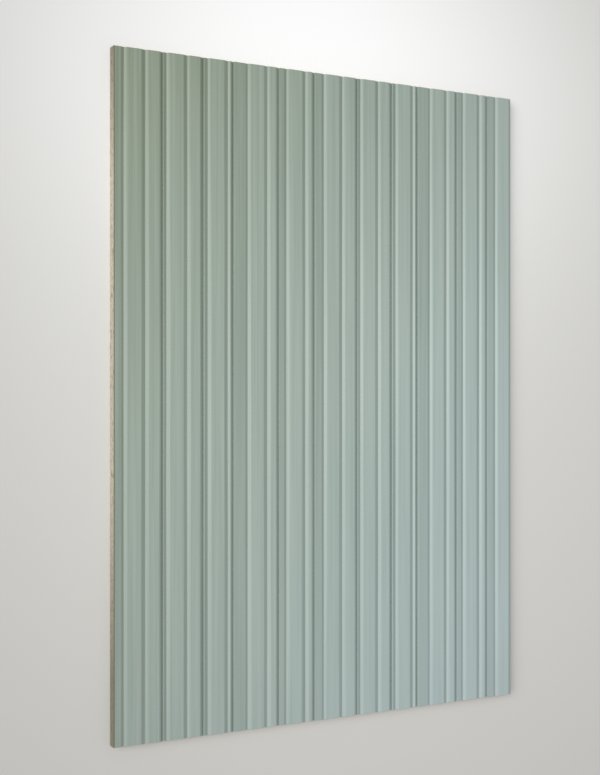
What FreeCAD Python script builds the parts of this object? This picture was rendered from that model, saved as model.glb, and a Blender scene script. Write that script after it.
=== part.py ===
import FreeCAD, Part
import math
import os
import Sketcher

# A decorative wall sheet, cut to a paper-sized sample: a brown fibre board whose front is milled
# into narrow ribs, and a thin decorative layer pressed over the milled front.
# It lies on its back with the ribs up. X runs across the ribs, Y along them, Z up.
# The origin is the middle of the back.

# Driving dimensions, in millimetres and degrees.
SIZES = (
    ("sheet_width", 210.0, "across the ribs"),
    ("sheet_length", 297.0, "along the ribs"),
    ("sheet_thickness", 5.0, "back to rib tops, with the decorative layer"),
    ("face_thickness", 0.3, "decorative layer"),
    ("rib_pitch", 9.8, "from one groove to the next"),
    ("first_groove", 4.5, "left edge to the middle of the first whole groove"),
    ("groove_depth", 0.75, "below the rib tops"),
    ("fall_slope", 21.0, "degrees that a groove's left flank falls from the face"),
    ("rise_slope", 36.0, "degrees that a groove's right flank rises to the face"),
    ("shoulder_radius", 1.6, "where a slope rounds over into the face"),
    ("root_radius", 0.4, "at the bottom of a groove"),
    ("slot_width", 0.8, "narrow slot that splits every second rib"),
    ("slot_depth", 1.0, "below the rib tops"),
    ("lean_width", 1.5, "how far to the left of a slot the face starts to lean down to it"),
    ("lean_slope", 25.0, "degrees that the face falls there"),
    ("ledge_drop", 0.18, "ledge to the right of a slot, below the rib tops"),
    ("ledge_fall", 0.12, "how much lower a ledge is at the middle of the next groove"),
    ("slot_place_one", 7.9, "groove to slot in the first split rib"),
    ("slot_place_two", 7.4, "groove to slot in the second split rib"),
    ("slot_place_three", 2.4, "groove to slot in the third split rib"),
    ("slot_place_four", 5.7, "groove to slot in the fourth split rib"),
    ("slot_place_five", 4.5, "groove to slot in the fifth split rib"),
    ("cutter_clearance", 2.0, "cutters stand this far clear of the board"),
)

# The split ribs come every second rib, and their slots' places repeat after five of them.
# Each place goes with the groove on its rib's left, counted from the first whole groove.
SLOT_PLACES = (
    ("slot_place_one", 1),
    ("slot_place_two", 3),
    ("slot_place_three", 5),
    ("slot_place_four", 7),
    ("slot_place_five", -1),
)
RIBS_PER_REPEAT = 10

# Sketcher's numbers for the points of a piece of geometry, and for the sketch's own axes.
START, END, CENTRE = range(1, 4)
X_AXIS, Y_AXIS = -1, -2


def make_size_sheet(doc):
    """The spreadsheet of driving dimensions, one row and one alias each."""
    sheet = doc.addObject("Spreadsheet::Sheet", "sizes")
    for row, (alias, value, note) in enumerate(SIZES, start=1):
        sheet.set(f"A{row}", alias)
        sheet.set(f"B{row}", str(value))
        sheet.set(f"C{row}", note)
        sheet.setAlias(f"B{row}", alias)
    doc.recompute()
    return sheet


def origin_feature(body, role):
    """The plane or axis of a body's own origin that has this role."""
    return next(item for item in body.Origin.OriginFeatures if item.Role == role)


def add_sketch(body, name, plane_role):
    """An empty sketch on one of the body's own origin planes."""
    sketch = body.newObject("Sketcher::SketchObject", name)
    sketch.AttachmentSupport = (origin_feature(body, plane_role), [""])
    sketch.MapMode = "FlatFace"
    return sketch


def dimension(sketch, name, expression, *constraint):
    """Add a dimension to a sketch, named and driven by an expression."""
    sketch.addConstraint(Sketcher.Constraint(*constraint))
    sketch.renameConstraint(sketch.ConstraintCount - 1, name)
    sketch.setExpression("Constraints." + name, expression)


def add_line(sketch, start, end):
    """A straight line between two (x, y) points of a sketch."""
    line = Part.LineSegment(FreeCAD.Vector(*start, 0), FreeCAD.Vector(*end, 0))
    sketch.addGeometry(line, False)


def add_arc(sketch, centre, radius, first_degrees, last_degrees):
    """An arc, counter-clockwise from the first angle to the last."""
    circle = Part.Circle(FreeCAD.Vector(*centre, 0), FreeCAD.Vector(0, 0, 1), radius)
    arc = Part.ArcOfCircle(circle, math.radians(first_degrees), math.radians(last_degrees))
    sketch.addGeometry(arc, False)


def join(sketch, kind, *ends):
    """Join the end of one element to the end of another, coincident or tangent."""
    sketch.addConstraint(Sketcher.Constraint(kind, *ends))


def add_slab(body, thickness):
    """The plain rectangular board, standing on the back plane."""
    sketch = add_sketch(body, body.Name + "_outline", "XY_Plane")
    corners = [(-1, -1), (1, -1), (1, 1), (-1, 1)]
    for side in range(4):
        add_line(sketch, corners[side], corners[(side + 1) % 4])
    for side in range(4):
        join(sketch, "Coincident", side, END, (side + 1) % 4, START)
    for side in (0, 2):
        sketch.addConstraint(Sketcher.Constraint("Horizontal", side))
    for side in (1, 3):
        sketch.addConstraint(Sketcher.Constraint("Vertical", side))
    sketch.addConstraint(Sketcher.Constraint("Symmetric", 0, START, 2, START, X_AXIS, START))
    dimension(sketch, "width", "sizes.sheet_width", "DistanceX", 0, START, 0, END, 2)
    dimension(sketch, "length", "sizes.sheet_length", "DistanceY", 1, START, 1, END, 2)
    slab = body.newObject("PartDesign::Pad", body.Name + "_slab")
    slab.Profile = sketch
    slab.setExpression("Length", thickness)


def groove_flank(sheet, layer, degrees):
    """Points of one flank of a groove, as distances from its middle and heights from the face.

    They are where the root ends, where the shoulder begins and where the shoulder ends.
    """
    slope = math.radians(degrees)
    shoulder = sheet.shoulder_radius - layer
    root = sheet.root_radius + layer
    flank_drop = sheet.groove_depth - (shoulder + root) * (1 - math.cos(slope))
    root_end = root * math.sin(slope)
    root_height = root * (1 - math.cos(slope)) - sheet.groove_depth
    shoulder_start = root_end + flank_drop / math.tan(slope)
    shoulder_end = shoulder_start + shoulder * math.sin(slope)
    return (root_end, root_height), (shoulder_start, root_height + flank_drop), shoulder_end


def draw_groove(sketch, sheet, inset, layer):
    """Section of one groove: two flanks, rounded over at the face and rounded at the root.

    Its middle is the sketch's origin and its face is the sketch's X axis. A cutter for the
    board under the decorative layer is inset by the layer, so the radii change by as much.
    """
    fall, rise = sheet.fall_slope, sheet.rise_slope
    shoulder = sheet.shoulder_radius - layer
    root = sheet.root_radius + layer
    (left_root, left_low), (left_top, left_high), left_end = groove_flank(sheet, layer, fall)
    (right_root, right_low), (right_top, right_high), right_end = groove_flank(sheet, layer, rise)
    top = sheet.cutter_clearance
    left_side, left_arc, left_flank, root_arc, right_flank, right_arc, right_side, lid = range(8)

    add_line(sketch, (-left_end, top), (-left_end, 0))
    add_arc(sketch, (-left_end, -shoulder), shoulder, 90 - fall, 90)
    add_line(sketch, (-left_top, left_high), (-left_root, left_low))
    add_arc(sketch, (0, root - sheet.groove_depth), root, 270 - fall, 270 + rise)
    add_line(sketch, (right_root, right_low), (right_top, right_high))
    add_arc(sketch, (right_end, -shoulder), shoulder, 90, 90 + rise)
    add_line(sketch, (right_end, 0), (right_end, top))
    add_line(sketch, (right_end, top), (-left_end, top))

    join(sketch, "Coincident", left_side, END, left_arc, END)
    join(sketch, "Tangent", left_arc, START, left_flank, START)
    join(sketch, "Tangent", left_flank, END, root_arc, START)
    join(sketch, "Tangent", root_arc, END, right_flank, START)
    join(sketch, "Tangent", right_flank, END, right_arc, END)
    join(sketch, "Coincident", right_arc, START, right_side, START)
    join(sketch, "Coincident", right_side, END, lid, START)
    join(sketch, "Coincident", lid, END, left_side, START)
    for side in (left_side, right_side):
        sketch.addConstraint(Sketcher.Constraint("Vertical", side))
    sketch.addConstraint(Sketcher.Constraint("Horizontal", lid))
    join(sketch, "PointOnObject", left_side, END, X_AXIS)
    join(sketch, "PointOnObject", right_side, START, X_AXIS)
    join(sketch, "PointOnObject", left_arc, CENTRE, left_side)
    join(sketch, "PointOnObject", right_arc, CENTRE, right_side)
    join(sketch, "PointOnObject", root_arc, CENTRE, Y_AXIS)
    sketch.addConstraint(Sketcher.Constraint("Equal", left_arc, right_arc))
    dimension(sketch, "shoulder", f"sizes.shoulder_radius - {inset}", "Radius", left_arc, shoulder)
    dimension(sketch, "root", f"sizes.root_radius + {inset}", "Radius", root_arc, root)
    dimension(sketch, "fall", "-sizes.fall_slope * 1 deg", "Angle", left_flank, -math.radians(fall))
    dimension(sketch, "rise", "sizes.rise_slope * 1 deg", "Angle", right_flank, math.radians(rise))
    dimension(sketch, "clearance", "sizes.cutter_clearance",
              "DistanceY", X_AXIS, START, left_side, START, top)
    dimension(sketch, "root_centre",
              f"sizes.cutter_clearance + sizes.groove_depth - sizes.root_radius - {inset}",
              "DistanceY", root_arc, CENTRE, left_side, START, top + sheet.groove_depth - root)


def draw_slot(sketch, sheet, inset, layer, place):
    """Section of one slot, with the face leaning down to it on its left and a ledge on its right.

    The slot's middle is the sketch's origin and the face is the sketch's X axis. The ledge
    runs on to the middle of the next groove, where the groove has already cut deeper.
    """
    half_slot = sheet.slot_width / 2 + layer
    lean_start = sheet.slot_width / 2 + sheet.lean_width
    slope = math.radians(sheet.lean_slope)
    shoulder = sheet.shoulder_radius - layer
    shoulder_end = lean_start - shoulder * math.sin(slope)
    shoulder_drop = shoulder * (1 - math.cos(slope))
    lean_drop = shoulder_drop + (shoulder_end - half_slot) * math.tan(slope)
    ledge_end = sheet.rib_pitch - getattr(sheet, place)
    ledge_slope = sheet.ledge_fall / (ledge_end - sheet.slot_width / 2)
    ledge_start = -sheet.ledge_drop - layer * ledge_slope
    ledge_low = ledge_start - (ledge_end - half_slot) * ledge_slope
    top = sheet.cutter_clearance
    left_side, rounded, lean, left_wall, floor, right_wall, ledge, right_side, lid = range(9)

    add_line(sketch, (-lean_start, top), (-lean_start, 0))
    add_arc(sketch, (-lean_start, -shoulder), shoulder, 90 - sheet.lean_slope, 90)
    add_line(sketch, (-shoulder_end, -shoulder_drop), (-half_slot, -lean_drop))
    add_line(sketch, (-half_slot, -lean_drop), (-half_slot, -sheet.slot_depth))
    add_line(sketch, (-half_slot, -sheet.slot_depth), (half_slot, -sheet.slot_depth))
    add_line(sketch, (half_slot, -sheet.slot_depth), (half_slot, ledge_start))
    add_line(sketch, (half_slot, ledge_start), (ledge_end, ledge_low))
    add_line(sketch, (ledge_end, ledge_low), (ledge_end, top))
    add_line(sketch, (ledge_end, top), (-lean_start, top))

    join(sketch, "Coincident", left_side, END, rounded, END)
    join(sketch, "Tangent", rounded, START, lean, START)
    for element in (lean, left_wall, floor, right_wall, ledge, right_side):
        join(sketch, "Coincident", element, END, element + 1, START)
    join(sketch, "Coincident", lid, END, left_side, START)
    for side in (left_side, left_wall, right_wall, right_side):
        sketch.addConstraint(Sketcher.Constraint("Vertical", side))
    sketch.addConstraint(Sketcher.Constraint("Horizontal", lid))
    join(sketch, "PointOnObject", left_side, END, X_AXIS)
    join(sketch, "PointOnObject", rounded, CENTRE, left_side)
    sketch.addConstraint(Sketcher.Constraint("Symmetric", floor, START, floor, END, Y_AXIS))
    dimension(sketch, "slot_width", f"sizes.slot_width + 2 * {inset}",
              "DistanceX", floor, START, floor, END, 2 * half_slot)
    dimension(sketch, "lean_start", "sizes.slot_width / 2 + sizes.lean_width",
              "DistanceX", left_side, START, X_AXIS, START, lean_start)
    dimension(sketch, "shoulder", f"sizes.shoulder_radius - {inset}", "Radius", rounded, shoulder)
    dimension(sketch, "lean", "-sizes.lean_slope * 1 deg", "Angle", lean, -slope)
    dimension(sketch, "clearance", "sizes.cutter_clearance",
              "DistanceY", X_AXIS, START, left_side, START, top)
    dimension(sketch, "depth", "sizes.cutter_clearance + sizes.slot_depth",
              "DistanceY", floor, END, left_side, START, top + sheet.slot_depth)
    fall = f"sizes.ledge_fall / (sizes.rib_pitch - sizes.{place} - sizes.slot_width / 2)"
    dimension(sketch, "ledge_start", f"sizes.cutter_clearance + sizes.ledge_drop + {inset} * {fall}",
              "DistanceY", ledge, START, left_side, START, top - ledge_start)
    dimension(sketch, "ledge_tilt", f"-atan({fall})", "Angle", ledge, -math.atan(ledge_slope))
    dimension(sketch, "ledge_end", f"sizes.rib_pitch - sizes.{place}",
              "DistanceX", X_AXIS, START, right_side, START, ledge_end)


def mill(body, sketch, copies, spacing):
    """Cut a section along the whole board, and repeat the cut across it."""
    cut = body.newObject("PartDesign::Pocket", sketch.Name + "_cut")
    cut.Profile = sketch
    cut.SideType = "Symmetric"
    cut.setExpression("Length", "sizes.sheet_length + 2 * sizes.cutter_clearance")
    repeat = body.newObject("PartDesign::LinearPattern", sketch.Name + "_repeat")
    repeat.Originals = [cut]
    repeat.Direction = (origin_feature(body, "X_Axis"), [""])
    repeat.Mode = "Spacing"
    repeat.setExpression("Offset", spacing)
    repeat.setExpression("Occurrences", copies)
    body.Tip = repeat


def milled_board(doc, sheet, name, inset, layer):
    """The ribbed board, whole, or with the decorative layer's thickness taken off its front.

    inset is the expression for that thickness and layer is its present value.
    """
    body = doc.addObject("PartDesign::Body", name)
    body.Label = name
    thickness = f"sizes.sheet_thickness - {inset}"
    add_slab(body, thickness)

    grooves = add_sketch(body, name + "_groove", "XZ_Plane")
    draw_groove(grooves, sheet, inset, layer)
    grooves.setExpression("AttachmentOffset.Base.x", "sizes.first_groove - sizes.sheet_width / 2")
    grooves.setExpression("AttachmentOffset.Base.y", thickness)
    mill(body, grooves, "ceil((sizes.sheet_width - sizes.first_groove) / sizes.rib_pitch) + 1",
         "sizes.rib_pitch")

    repeat = f"({RIBS_PER_REPEAT} * sizes.rib_pitch)"
    for place, groove in SLOT_PLACES:
        slot = add_sketch(body, f"{name}_{place}", "XZ_Plane")
        draw_slot(slot, sheet, inset, layer, place)
        across = f"(sizes.first_groove + {groove} * sizes.rib_pitch + sizes.{place})"
        slot.setExpression("AttachmentOffset.Base.x", f"{across} - sizes.sheet_width / 2")
        slot.setExpression("AttachmentOffset.Base.y", thickness)
        lean_start = f"({across} - sizes.slot_width / 2 - sizes.lean_width)"
        mill(body, slot, f"max(1; ceil((sizes.sheet_width - {lean_start}) / {repeat}))", repeat)
    return body


def check(doc, parts):
    """Stop if any feature failed, or a sub-part isn't one whole solid."""
    for item in doc.Objects:
        if "Invalid" in item.State or "Error" in item.State:
            raise RuntimeError(f"{item.Label} failed: {item.State}")
    for part in parts:
        if part.Shape.isNull() or not part.Shape.isValid():
            raise RuntimeError(part.Label + " has no valid shape")
        if len(part.Shape.Solids) != 1:
            raise RuntimeError(f"{part.Label} has {len(part.Shape.Solids)} solids")


def main():
    doc = FreeCAD.newDocument("ribbed_laminate_sheet")
    sheet = make_size_sheet(doc)

    # The decorative layer is what lies between the finished front and the board's own front.
    finished = milled_board(doc, sheet, "finished_outline", "0", 0.0)
    core = milled_board(doc, sheet, "core_board", "sizes.face_thickness", sheet.face_thickness)
    face = doc.addObject("Part::Cut", "face_laminate")
    face.Label = "face_laminate"
    face.Base = finished
    face.Tool = core
    doc.recompute()

    parts = (core, face)
    check(doc, parts)
    os.makedirs("parts", exist_ok=True)
    for part in parts:
        part.Shape.exportStep(f"parts/{part.Label}.step")
        box = part.Shape.BoundBox
        print(f"{part.Label}: {part.Shape.Volume:.1f} mm3, {len(part.Shape.Faces)} faces, "
              f"{box.XLength:.2f} x {box.YLength:.2f} x {box.ZLength:.2f} mm")


main()
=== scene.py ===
import math

import bpy
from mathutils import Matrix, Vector


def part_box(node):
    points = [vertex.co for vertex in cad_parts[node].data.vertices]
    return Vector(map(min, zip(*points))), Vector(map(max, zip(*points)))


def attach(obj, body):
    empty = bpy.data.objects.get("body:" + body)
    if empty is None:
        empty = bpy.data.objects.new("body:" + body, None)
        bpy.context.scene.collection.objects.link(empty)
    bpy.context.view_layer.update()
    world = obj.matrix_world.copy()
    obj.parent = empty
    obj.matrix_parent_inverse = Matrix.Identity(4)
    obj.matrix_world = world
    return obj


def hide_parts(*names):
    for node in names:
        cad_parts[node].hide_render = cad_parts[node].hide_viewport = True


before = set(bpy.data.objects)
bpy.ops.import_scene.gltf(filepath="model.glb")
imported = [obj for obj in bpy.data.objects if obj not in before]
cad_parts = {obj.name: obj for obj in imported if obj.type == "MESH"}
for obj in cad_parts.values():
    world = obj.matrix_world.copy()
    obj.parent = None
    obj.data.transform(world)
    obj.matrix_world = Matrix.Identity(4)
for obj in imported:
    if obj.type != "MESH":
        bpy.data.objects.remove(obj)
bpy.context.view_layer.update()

# A ribbed laminate sheet that lies on its back: a brown fibre board and its thin green face.
# X runs across the ribs, Y along them and Z up. Lengths are in metres.

MM = 0.001

# The board's overall sizes come from the frame.
core_low, core_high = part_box("core_board")
face_low, face_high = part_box("face_laminate")
LEFT, RIGHT = core_low.x, core_high.x
HALF_LENGTH = core_high.y
CORE_TOP = core_high.z
FACE_TOP = face_high.z
LAYER = FACE_TOP - CORE_TOP

# The section's own sizes are those of the solids.
RIB_PITCH = 9.8 * MM
FIRST_GROOVE = 4.5 * MM
GROOVE_DEPTH = 0.75 * MM
FALL_SLOPE = math.radians(21)
RISE_SLOPE = math.radians(36)
SHOULDER_RADIUS = 1.6 * MM
ROOT_RADIUS = 0.4 * MM
SLOT_WIDTH = 0.8 * MM
SLOT_DEPTH = 1.0 * MM
LEAN_WIDTH = 1.5 * MM
LEAN_SLOPE = math.radians(25)
LEDGE_DROP = 0.18 * MM
LEDGE_FALL = 0.12 * MM
SLOT_PLACES = [7.9 * MM, 7.4 * MM, 2.4 * MM, 5.7 * MM, 4.5 * MM]

# Softened edges, too fine for the solids.
LIP_RADIUS = 0.18 * MM
SLOT_CORNER = 0.12 * MM
ARRIS = 0.08 * MM
EDGE_BEVEL = 0.28 * MM
BACK_ARRIS = 0.25 * MM
LEAST_RADIUS = 0.01 * MM
# Edges that turn by more than this look sharp.
SKIN_SHARP_ANGLE = math.radians(40)
CORE_SHARP_ANGLE = math.radians(30)

# Spacing of the section's points, and points on each small arc.
POINT_SPACING = 0.12 * MM
ARC_STEPS = 5


# The section

def groove_drop(offset, depth):
    """How far a groove lies below its face, at an offset to the left or right of its middle.

    depth is how deep the surface is in the layers: 0 for the finish, LAYER for the board.
    """
    slope = FALL_SLOPE if offset < 0 else RISE_SLOPE
    distance = abs(offset)
    turned = SHOULDER_RADIUS + ROOT_RADIUS
    flank_drop = GROOVE_DEPTH - turned * (1 - math.cos(slope))
    rim = turned * math.sin(slope) + flank_drop / math.tan(slope)
    shoulder = SHOULDER_RADIUS - depth
    root = ROOT_RADIUS + depth
    from_rim = rim - distance
    shoulder_run = shoulder * math.sin(slope)
    if from_rim <= 0:
        return 0.0
    if from_rim < shoulder_run:
        return shoulder - math.sqrt(shoulder ** 2 - from_rim ** 2)
    if distance < root * math.sin(slope):
        return GROOVE_DEPTH - root + math.sqrt(root ** 2 - distance ** 2)
    return shoulder * (1 - math.cos(slope)) + (from_rim - shoulder_run) * math.tan(slope)


def groove_middles():
    """Where the grooves lie, from one before the board to one past it."""
    count = math.ceil((RIGHT - LEFT - FIRST_GROOVE) / RIB_PITCH)
    return [LEFT + FIRST_GROOVE + number * RIB_PITCH for number in range(-1, count + 1)]


def slot_middles():
    """Where the slots lie, with the end of each slot's ledge. The first lies just off the board."""
    slots = []
    number = -1
    while True:
        groove = LEFT + FIRST_GROOVE + (2 * number + 1) * RIB_PITCH
        middle = groove + SLOT_PLACES[number % len(SLOT_PLACES)]
        if middle > RIGHT:
            return slots
        slots.append((middle, groove + RIB_PITCH))
        number += 1


GROOVES = groove_middles()
SLOTS = slot_middles()


def lean_drop(x, slot, depth):
    """How far the face has leaned down on the left of a slot, rounded over where it starts."""
    run = x - (slot - SLOT_WIDTH / 2 - LEAN_WIDTH)
    radius = SHOULDER_RADIUS - depth
    rounded_run = radius * math.sin(LEAN_SLOPE)
    if run <= 0 or x >= slot:
        return 0.0
    if run < rounded_run:
        return radius - math.sqrt(radius ** 2 - run ** 2)
    return radius * (1 - math.cos(LEAN_SLOPE)) + (run - rounded_run) * math.tan(LEAN_SLOPE)


def ledge_slope(slot, ledge_end):
    """How steeply a ledge falls from its slot to the middle of the next groove."""
    return LEDGE_FALL / (ledge_end - slot - SLOT_WIDTH / 2)


def ledge_drop(x, slot, ledge_end):
    """The lower ledge on the right of a slot."""
    if x <= slot or x >= ledge_end:
        return 0.0
    return LEDGE_DROP + (x - slot - SLOT_WIDTH / 2) * ledge_slope(slot, ledge_end)


def surface_height(x, depth):
    """Height of one layer's surface at x, slots left out."""
    nearest = min(GROOVES, key=lambda middle: abs(x - middle))
    drop = groove_drop(x - nearest, depth)
    for slot, ledge_end in SLOTS:
        drop = max(drop, lean_drop(x, slot, depth), ledge_drop(x, slot, ledge_end))
    return FACE_TOP - depth - drop


def arc(centre_x, centre_z, radius, first, last):
    """Points on an arc in the section, with angles in radians from the X axis."""
    angles = [first + (last - first) * step / ARC_STEPS for step in range(ARC_STEPS + 1)]
    return [(centre_x + radius * math.cos(a), centre_z + radius * math.sin(a)) for a in angles]


def slot_points(slot, ledge_end, depth):
    """One slot from its left lip to its right lip, with rounded lips and corners."""
    half = SLOT_WIDTH / 2 + depth
    lip = max(LIP_RADIUS - depth, LEAST_RADIUS)
    corner = SLOT_CORNER
    floor = FACE_TOP - depth - SLOT_DEPTH
    tilt = math.atan(ledge_slope(slot, ledge_end))
    left_wall, right_wall = slot - half, slot + half
    left_start = left_wall - lip * (1 - math.sin(LEAN_SLOPE))
    right_end = right_wall + lip * (1 + math.sin(tilt))
    left_centre = surface_height(left_start, depth) - lip * math.cos(LEAN_SLOPE)
    right_centre = surface_height(right_end, depth) - lip * math.cos(tilt)
    return (
        arc(left_wall - lip, left_centre, lip, math.pi / 2 - LEAN_SLOPE, 0)
        + arc(left_wall + corner, floor + corner, corner, math.pi, 1.5 * math.pi)
        + arc(right_wall - corner, floor + corner, corner, 1.5 * math.pi, 2 * math.pi)
        + arc(right_wall + lip, right_centre, lip, math.pi, math.pi / 2 - tilt)
    )


def stretch(begin, finish, start, end, depth):
    """Surface points from begin up to finish, as many for every layer as fit from start to end."""
    steps = max(1, round((end - start) / POINT_SPACING))
    places = [begin + (finish - begin) * step / steps for step in range(steps)]
    return [(x, surface_height(x, depth)) for x in places]


def surface_points(depth, inset=0.0):
    """One layer's surface from the left edge to the right, with as many points for every layer.

    inset is how far inside both edges it starts and ends.
    """
    reach = SLOT_WIDTH / 2 + LIP_RADIUS
    points = []
    start, begin = LEFT, LEFT + inset
    for slot, ledge_end in [pair for pair in SLOTS if pair[0] > LEFT]:
        through = slot_points(slot, ledge_end, depth)
        points += stretch(begin, through[0][0], start, slot - reach, depth) + through[:-1]
        start, begin = slot + reach, through[-1][0]
    points += stretch(begin, RIGHT - inset, start, RIGHT, depth)
    points.append((RIGHT - inset, surface_height(RIGHT - inset, depth)))
    return points


# Meshes

def lowered(points, amount):
    """The same surface worn down a little along its own normals."""
    worn = []
    for number, (x, z) in enumerate(points):
        before = points[max(number - 1, 0)]
        after = points[min(number + 1, len(points) - 1)]
        along = Vector((after[0] - before[0], after[1] - before[1])).normalized()
        worn.append((min(max(x + along.y * amount, LEFT), RIGHT), z - along.x * amount))
    return worn


def sweep(rings, kind_of_side):
    """Vertices, side faces and the faces' kinds of a bar through closed rings of points."""
    count = len(rings[0])
    vertices = [point for ring in rings for point in ring]
    faces = []
    kinds = []
    for ring in range(len(rings) - 1):
        for number in range(count):
            after = (number + 1) % count
            faces.append((
                ring * count + number, ring * count + after,
                (ring + 1) * count + after, (ring + 1) * count + number,
            ))
            kinds.append(kind_of_side(number))
    return vertices, faces, kinds


def make_object(name, vertices, faces, kinds, materials, sharp_angle):
    """An object on the root body. A face's kind is the number of its material."""
    mesh = bpy.data.meshes.new(name)
    mesh.from_pydata(vertices, [], faces)
    for material in materials:
        mesh.materials.append(material)
    mesh.polygons.foreach_set("material_index", kinds)
    mesh.update()
    piece = bpy.data.objects.new(name, mesh)
    bpy.context.scene.collection.objects.link(piece)
    mesh.shade_smooth()
    mesh.set_sharp_from_angle(angle=sharp_angle)
    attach(piece, "root")
    return piece


def end_places():
    """Y of each ring with the wear there: a fine arris at both cut ends."""
    return [
        (-HALF_LENGTH, ARRIS), (-HALF_LENGTH + ARRIS, 0.0),
        (HALF_LENGTH - ARRIS, 0.0), (HALF_LENGTH, ARRIS),
    ]


def make_face(materials):
    """The decorative skin, with a finished front, a glued side and trimmed edges and ends.

    Its ring of points is the finish from left to right, the right edge, the glued side from
    right to left, and the left edge.
    """
    finished, trimmed = range(2)
    finish = surface_points(0.0, EDGE_BEVEL)
    glued = surface_points(LAYER)
    count = len(finish)
    left_edge = (LEFT, finish[0][1] - EDGE_BEVEL)
    right_edge = (RIGHT, finish[-1][1] - EDGE_BEVEL)
    rings = []
    for y, wear in end_places():
        section = lowered(finish, wear) + [right_edge] + glued[::-1] + [left_edge]
        rings.append([(x, y, z) for x, z in section])

    def kind_of_side(number):
        return finished if number < count - 1 else trimmed

    vertices, faces, kinds = sweep(rings, kind_of_side)

    # Each end is closed by a triangle at both edges and a row of faces between front and back.
    ring_size = len(rings[0])
    last_ring = (len(rings) - 1) * ring_size
    right, left = count, ring_size - 1
    caps = [(0, left, left - 1), (count - 1, right + 1, right)]
    for number in range(count - 1):
        below = 2 * count - number
        caps.append((number, below, below - 1, number + 1))
    for cap in caps:
        faces.append(cap)
        faces.append(tuple(last_ring + corner for corner in reversed(cap)))
        kinds += [trimmed, trimmed]
    piece = make_object("face_skin", vertices, faces, kinds, materials, SKIN_SHARP_ANGLE)
    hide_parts("face_laminate")
    return piece


def make_core(materials):
    """The fibre board: its milled front under the skin, four sawn edges and a plain back."""
    front = surface_points(LAYER)
    back = [
        (RIGHT, BACK_ARRIS), (RIGHT - BACK_ARRIS, 0.0),
        (LEFT + BACK_ARRIS, 0.0), (LEFT, BACK_ARRIS),
    ]
    loop = front + back
    rings = [[(x, y, z) for x, z in loop] for y in (-HALF_LENGTH, HALF_LENGTH)]
    vertices, faces, kinds = sweep(rings, lambda number: 0)
    faces.append(tuple(reversed(range(len(loop)))))
    faces.append(tuple(range(len(loop), 2 * len(loop))))
    kinds += [0, 0]
    piece = make_object("core_panel", vertices, faces, kinds, materials, CORE_SHARP_ANGLE)
    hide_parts("core_board")
    return piece


# Materials

class Nodes:
    """Short ways to add and link the nodes of one node tree."""

    def __init__(self, tree):
        self.tree = tree

    def fill(self, socket, value):
        """Link an output to a socket, or set a plain value on it."""
        if hasattr(value, "is_output"):
            self.tree.links.new(value, socket)
        else:
            socket.default_value = value

    def add(self, kind, inputs=(), **settings):
        """A new node with its settings made and its sockets filled."""
        node = self.tree.nodes.new(kind)
        for name, value in settings.items():
            setattr(node, name, value)
        for socket, value in dict(inputs).items():
            self.fill(node.inputs[socket], value)
        return node

    def position(self):
        """The object's own coordinates."""
        return self.add("ShaderNodeTexCoord").outputs["Object"]

    def noise(self, scale, stretch=(1, 1, 1), detail=3.0, roughness=0.5):
        """Noise in the object's own coordinates, drawn out along an axis whose stretch is small."""
        place = self.add("ShaderNodeMapping", {"Vector": self.position(), "Scale": stretch})
        return self.add("ShaderNodeTexNoise", {
            "Vector": place.outputs[0], "Scale": scale, "Detail": detail, "Roughness": roughness,
        }).outputs["Fac"]

    def ramp(self, value, low_shade, high, to_low=0.0, to_high=1.0):
        """A value from low to high as one from to_low to to_high, and no further."""
        return self.add("ShaderNodeMapRange", {
            "Value": value, "From Min": low_shade, "From Max": high, "To Min": to_low, "To Max": to_high,
        }).outputs[0]

    def math(self, operation, first, second=0.0):
        return self.add("ShaderNodeMath", {0: first, 1: second}, operation=operation).outputs[0]

    def vector_math(self, operation, first, second, output="Vector"):
        node = self.add("ShaderNodeVectorMath", {0: first, 1: second}, operation=operation)
        return node.outputs[output]

    def mix(self, factor, first, second, blend="MIX"):
        """Two colours mixed. A colour mix has its factor at socket 0 and its colours at 6 and 7."""
        inputs = {0: factor, 6: first, 7: second}
        return self.add("ShaderNodeMix", inputs, data_type="RGBA", blend_type=blend).outputs[2]

    def bump(self, height, distance, below=None):
        """A bumped normal, on top of another one where that is given."""
        node = self.add("ShaderNodeBump", {"Height": height, "Distance": distance})
        if below is not None:
            self.fill(node.inputs["Normal"], below)
        return node.outputs[0]


def new_material(name):
    """A new material, its nodes and its shader's sockets."""
    material = bpy.data.materials.new(name)
    material.use_nodes = True
    shader = material.node_tree.nodes["Principled BSDF"]
    return material, Nodes(material.node_tree), shader.inputs


def srgb(red, green, blue):
    """A colour given as it looks on screen, 0 to 255, as Blender's linear one."""
    def linear(value):
        value /= 255
        return value / 12.92 if value <= 0.04045 else ((value + 0.055) / 1.055) ** 2.4
    return (linear(red), linear(green), linear(blue), 1.0)


# Sage green with painted light, darker and warmer at the sheet's top left and paler and bluer at
# its lower right, and its paler and deeper grain.
SHADED_WARM_SAGE = srgb(128, 139, 113)
LIT_COOL_SAGE = srgb(173, 189, 191)
PALE_GRAIN = srgb(178, 190, 182)
DEEP_GRAIN = srgb(140, 154, 147)
# How fast the painted light drifts the colour from the first to the second, for each metre along X
# and Y.
PAINTED_LIGHT_DRIFT = (2.7, -1.6, 0)
PAINTED_LIGHT_DRIFT_AT_ORIGIN = 0.56

# The grain: fine streaks and broad bands along the ribs, soft clouds, and pores.
STREAKS = {"scale": 900, "stretch": (1, 0.012, 1), "detail": 4}
BANDS = {"scale": 140, "stretch": (1, 0.05, 1), "detail": 2}
CLOUDS = {"scale": 9, "detail": 2}
PORES = {"scale": 4200, "detail": 2}
# How much of the paler or deeper colour they add at most, and how high they stand.
STREAK_SHARE = 0.30
BAND_SHARE = 0.10
CLOUD_SHARE = 0.12
STREAK_HEIGHT = 0.010 * MM
PORE_HEIGHT = 0.004 * MM
# The satin finish is least rough in the deep streaks and most rough in the pale ones.
LEAST_ROUGH = 0.36
MOST_ROUGH = 0.44
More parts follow.
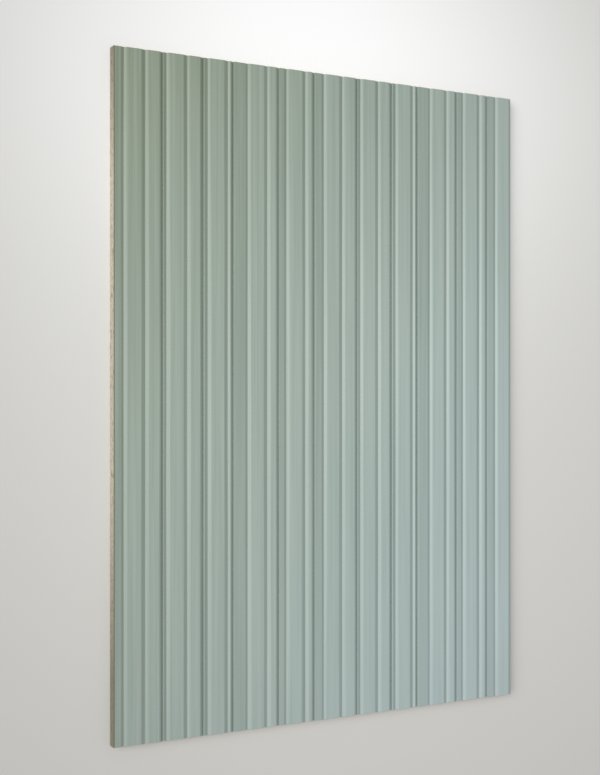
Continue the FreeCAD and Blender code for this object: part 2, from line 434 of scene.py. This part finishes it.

# Painted shade: the finish is a little darker once it lies this far below the rib tops.
LOW_SHADE = srgb(242, 243, 242)
LOW_SHADE_START = 0.05 * MM
LOW_SHADE_END = 0.20 * MM
# Painted shade: the slots' floors, which lie below everything else, are darkened.
SLOT_SHADE = srgb(218, 220, 215)
SLOT_START = 0.80 * MM
SLOT_END = 0.95 * MM


def face_material():
    """Sage green satin laminate with a faint grain along the ribs, and painted light that makes it
    paler and bluer down and to the right.
    """
    material, nodes, shader = new_material("sage_laminate")
    # Painted light: the colour drifts from the darker warm sage to the paler cool one across the
    # sheet.
    painted_light = nodes.vector_math("DOT_PRODUCT", nodes.position(), PAINTED_LIGHT_DRIFT, "Value")
    painted_light = nodes.math("ADD", painted_light, PAINTED_LIGHT_DRIFT_AT_ORIGIN)
    base = nodes.mix(painted_light, SHADED_WARM_SAGE, LIT_COOL_SAGE)

    streaks = nodes.noise(**STREAKS)
    bands = nodes.noise(**BANDS)
    clouds = nodes.noise(**CLOUDS)
    base = nodes.mix(nodes.ramp(streaks, 0.4, 0.7, to_high=STREAK_SHARE), base, PALE_GRAIN)
    base = nodes.mix(nodes.ramp(streaks, 0.5, 0.25, to_high=STREAK_SHARE), base, DEEP_GRAIN)
    base = nodes.mix(nodes.ramp(bands, 0.35, 0.65, to_high=BAND_SHARE), base, PALE_GRAIN)
    base = nodes.mix(nodes.ramp(clouds, 0.35, 0.7, to_high=CLOUD_SHARE), base, DEEP_GRAIN)

    height = nodes.add("ShaderNodeSeparateXYZ", {0: nodes.position()}).outputs["Z"]
    # Painted shade in the low parts of the face.
    low_shade = nodes.ramp(height, FACE_TOP - LOW_SHADE_START, FACE_TOP - LOW_SHADE_END)
    base = nodes.mix(low_shade, base, LOW_SHADE, "MULTIPLY")
    # Painted shade on the slots' floors.
    slot_shade = nodes.ramp(height, FACE_TOP - SLOT_START, FACE_TOP - SLOT_END)
    base = nodes.mix(slot_shade, base, SLOT_SHADE, "MULTIPLY")

    pores = nodes.bump(nodes.noise(**PORES), PORE_HEIGHT)
    nodes.fill(shader["Base Color"], base)
    nodes.fill(shader["Roughness"], nodes.ramp(streaks, 0.3, 0.7, LEAST_ROUGH, MOST_ROUGH))
    nodes.fill(shader["Normal"], nodes.bump(streaks, STREAK_HEIGHT, below=pores))
    nodes.fill(shader["IOR"], 1.5)
    return material


# The skin's trimmed edge: dark olive resin with slightly paler fibres.
DARK_RESIN = srgb(74, 76, 58)
PALE_RESIN = srgb(98, 100, 80)
RESIN_FIBRES = {"scale": 2500, "detail": 3}
RESIN_FIBRE_HEIGHT = 0.02 * MM


def cut_edge_material():
    """The skin seen edge on where the sheet was trimmed."""
    material, nodes, shader = new_material("laminate_cut_edge")
    fibres = nodes.noise(**RESIN_FIBRES)
    base = nodes.mix(nodes.ramp(fibres, 0.3, 0.7), DARK_RESIN, PALE_RESIN)
    nodes.fill(shader["Base Color"], base)
    nodes.fill(shader["Roughness"], 0.7)
    nodes.fill(shader["Normal"], nodes.bump(fibres, RESIN_FIBRE_HEIGHT))
    return material


# The fibre board's pale and dark fibres, its flecks, its dense layers, and the painted shade on its
# long edges.
PALE_FIBRE = srgb(208, 198, 180)
DARK_FIBRE = srgb(168, 157, 138)
FLECK = srgb(116, 101, 82)
DENSE_FIBRE = srgb(128, 116, 98)
EDGE_SHADE = srgb(104, 96, 80)
FIBRES = {"scale": 1500, "stretch": (0.35, 0.35, 1), "detail": 4, "roughness": 0.6}
FLECKS = {"scale": 700, "stretch": (0.45, 0.45, 1), "detail": 3}
FIBRE_HEIGHT = 0.05 * MM
FLECK_SHARE = 0.6
# The dense layers lie under the skin and over the back.
DENSE_FRONT = 0.7 * MM
DENSE_BACK = 0.5 * MM
DENSE_SHARE = 0.5
# Painted shade: the long edges darken from these places along Y to their far and near ends, as the
# light falls off there.
FAR_SHADE_START = 92 * MM
FAR_SHADE_SHARE = 0.72
NEAR_SHADE_START = -35 * MM
NEAR_SHADE_FULL = -120 * MM
NEAR_SHADE_SHARE = 0.77
EDGE_SHADE_WIDTH = 1.0 * MM


def core_material():
    """Fibre board: fibres and flecks, dense darker layers, and painted shade darkening the long
    edges to their ends.
    """
    material, nodes, shader = new_material("fibre_board")
    x, y, z = nodes.add("ShaderNodeSeparateXYZ", {0: nodes.position()}).outputs
    fibres = nodes.noise(**FIBRES)
    flecks = nodes.noise(**FLECKS)
    base = nodes.mix(nodes.ramp(fibres, 0.3, 0.7), DARK_FIBRE, PALE_FIBRE)
    base = nodes.mix(nodes.ramp(flecks, 0.56, 0.68, to_high=FLECK_SHARE), base, FLECK)

    under_skin = nodes.ramp(z, CORE_TOP - DENSE_FRONT, CORE_TOP)
    over_back = nodes.ramp(z, DENSE_BACK, 0.0)
    dense = nodes.math("MAXIMUM", under_skin, over_back)
    base = nodes.mix(nodes.ramp(dense, 0.2, 1.0, to_high=DENSE_SHARE), base, DENSE_FIBRE)

    # Painted shade on the long edges towards both ends.
    to_far_end = nodes.ramp(y, FAR_SHADE_START, HALF_LENGTH, to_high=FAR_SHADE_SHARE)
    to_near_end = nodes.ramp(y, NEAR_SHADE_START, NEAR_SHADE_FULL, to_high=NEAR_SHADE_SHARE)
    to_ends = nodes.math("MAXIMUM", to_far_end, to_near_end)
    at_edges = nodes.ramp(nodes.math("ABSOLUTE", x), RIGHT - EDGE_SHADE_WIDTH, RIGHT)
    base = nodes.mix(nodes.math("MULTIPLY", to_ends, at_edges), base, EDGE_SHADE)

    nodes.fill(shader["Base Color"], base)
    nodes.fill(shader["Roughness"], 0.85)
    nodes.fill(shader["Normal"], nodes.bump(fibres, FIBRE_HEIGHT))
    return material


# Stage

# Half the floor's width, its colours, and the middle and reach along X and Y of a painted pool of
# light on it.
FLOOR_HALF = 20.0
FLOOR_GREY = srgb(210, 209, 205)
FLOOR_PAINTED_GLOW = srgb(255, 255, 255)
PAINTED_GLOW_PLACE = (-0.010, 0.170, 0)
PAINTED_GLOW_REACH_X = 0.165
PAINTED_GLOW_REACH_Y = 0.115


def floor_material():
    """Pale studio floor, brighter in a soft round pool of painted light beyond the sheet."""
    material, nodes, shader = new_material("studio_floor")
    # Painted light: a soft round pool of light on the floor.
    offset = nodes.vector_math("SUBTRACT", nodes.position(), PAINTED_GLOW_PLACE)
    shares = nodes.vector_math("MULTIPLY", offset, (1 / PAINTED_GLOW_REACH_X, 1 / PAINTED_GLOW_REACH_Y, 0))
    squared = nodes.vector_math("DOT_PRODUCT", shares, shares, "Value")
    painted_glow = nodes.math("POWER", 1 / math.e, squared)
    nodes.fill(shader["Base Color"], nodes.mix(painted_glow, FLOOR_GREY, FLOOR_PAINTED_GLOW))
    nodes.fill(shader["Roughness"], 0.9)
    nodes.fill(shader["Specular IOR Level"], 0.0)
    return material


def make_floor():
    """A wide floor that the sheet lies on."""
    corners = [(-1, -1), (1, -1), (1, 1), (-1, 1)]
    mesh = bpy.data.meshes.new("floor")
    mesh.from_pydata([(x * FLOOR_HALF, y * FLOOR_HALF, 0) for x, y in corners], [], [(0, 1, 2, 3)])
    mesh.materials.append(floor_material())
    floor = bpy.data.objects.new("floor", mesh)
    bpy.context.scene.collection.objects.link(floor)


# Light

# The surround's strength as light, and its tone where it is seen: that of the far floor.
SURROUND_LIGHT = 0.42
SURROUND_TONE = srgb(184, 183, 179)
# A broad key from the sheet's left: its slope from straight up, and its turn towards Y.
KEY_SLOPE = math.radians(54)
KEY_TURN = math.radians(12)
KEY_SPREAD = math.radians(40)
KEY_ENERGY = 1.75
KEY_COLOUR = (1.0, 0.995, 0.98)
# A weak pool of light that points just beside the sheet's middle.
POOL_PLACE = (-0.20, 0.03, 0.60)
POOL_TARGET = (0.03, 0.03, 0)
POOL_CONE = math.radians(56)
POOL_SIZE = 0.12
POOL_ENERGY = 5.6
POOL_COLOUR = (0.97, 0.99, 1.0)


def make_surround():
    """A plain white world that shows in the far floor's own tone, so that no skyline is seen."""
    world = bpy.data.worlds.new("surround")
    world.use_nodes = True
    nodes = Nodes(world.node_tree)
    light = world.node_tree.nodes["Background"]
    nodes.fill(light.inputs["Color"], (1, 1, 1, 1))
    nodes.fill(light.inputs["Strength"], SURROUND_LIGHT)
    shown = nodes.add("ShaderNodeBackground", {"Color": SURROUND_TONE})
    rays = nodes.add("ShaderNodeLightPath").outputs
    seen = nodes.math("MAXIMUM", rays["Is Camera Ray"], rays["Is Glossy Ray"])
    seen = nodes.math("MAXIMUM", seen, rays["Is Transmission Ray"])
    choice = nodes.add("ShaderNodeMixShader", {0: seen, 1: light.outputs[0], 2: shown.outputs[0]})
    nodes.fill(world.node_tree.nodes["World Output"].inputs["Surface"], choice.outputs[0])
    bpy.context.scene.world = world


def add_lamp(kind, name, place, target, energy, colour):
    """A lamp at a place that points at a target."""
    lamp = bpy.data.lights.new(name, kind)
    lamp.energy = energy
    lamp.color = colour
    holder = bpy.data.objects.new(name, lamp)
    holder.location = place
    holder.rotation_euler = (Vector(target) - Vector(place)).to_track_quat("-Z", "Y").to_euler()
    bpy.context.scene.collection.objects.link(holder)
    return lamp


def make_lamps():
    """The broad key from the sheet's left and the weak pool of light."""
    key_place = (
        -math.sin(KEY_SLOPE) * math.cos(KEY_TURN),
        math.sin(KEY_SLOPE) * math.sin(KEY_TURN),
        math.cos(KEY_SLOPE),
    )
    key = add_lamp("SUN", "key", key_place, (0, 0, 0), KEY_ENERGY, KEY_COLOUR)
    key.angle = KEY_SPREAD
    pool = add_lamp("SPOT", "pool", POOL_PLACE, POOL_TARGET, POOL_ENERGY, POOL_COLOUR)
    pool.spot_size = POOL_CONE
    pool.spot_blend = 1.0
    pool.shadow_soft_size = POOL_SIZE


# Camera

# The sensor's width and the lens are in millimetres.
SENSOR_WIDTH = 36.0
LENS = 61.17
# The picture's frame is raised a little, so the sheet sits just below its middle.
FRAME_SHIFT = 0.0118
CAMERA_PLACE = (-304.6 * MM, 0, 530.0 * MM)
CAMERA_TILT = math.radians(28.85)


def make_camera():
    """Looks down on the sheet from its left, turned about the ribs' own direction."""
    camera_data = bpy.data.cameras.new("camera")
    camera_data.sensor_width = SENSOR_WIDTH
    camera_data.lens = LENS
    camera_data.shift_y = FRAME_SHIFT
    camera = bpy.data.objects.new("camera", camera_data)
    camera.location = CAMERA_PLACE
    camera.rotation_euler = (0, -CAMERA_TILT, 0)
    bpy.context.scene.collection.objects.link(camera)
    bpy.context.scene.camera = camera


make_camera()
make_floor()
make_lamps()
make_surround()
make_face([face_material(), cut_edge_material()])
make_core([core_material()])
bpy.context.scene.view_settings.view_transform = "Standard"
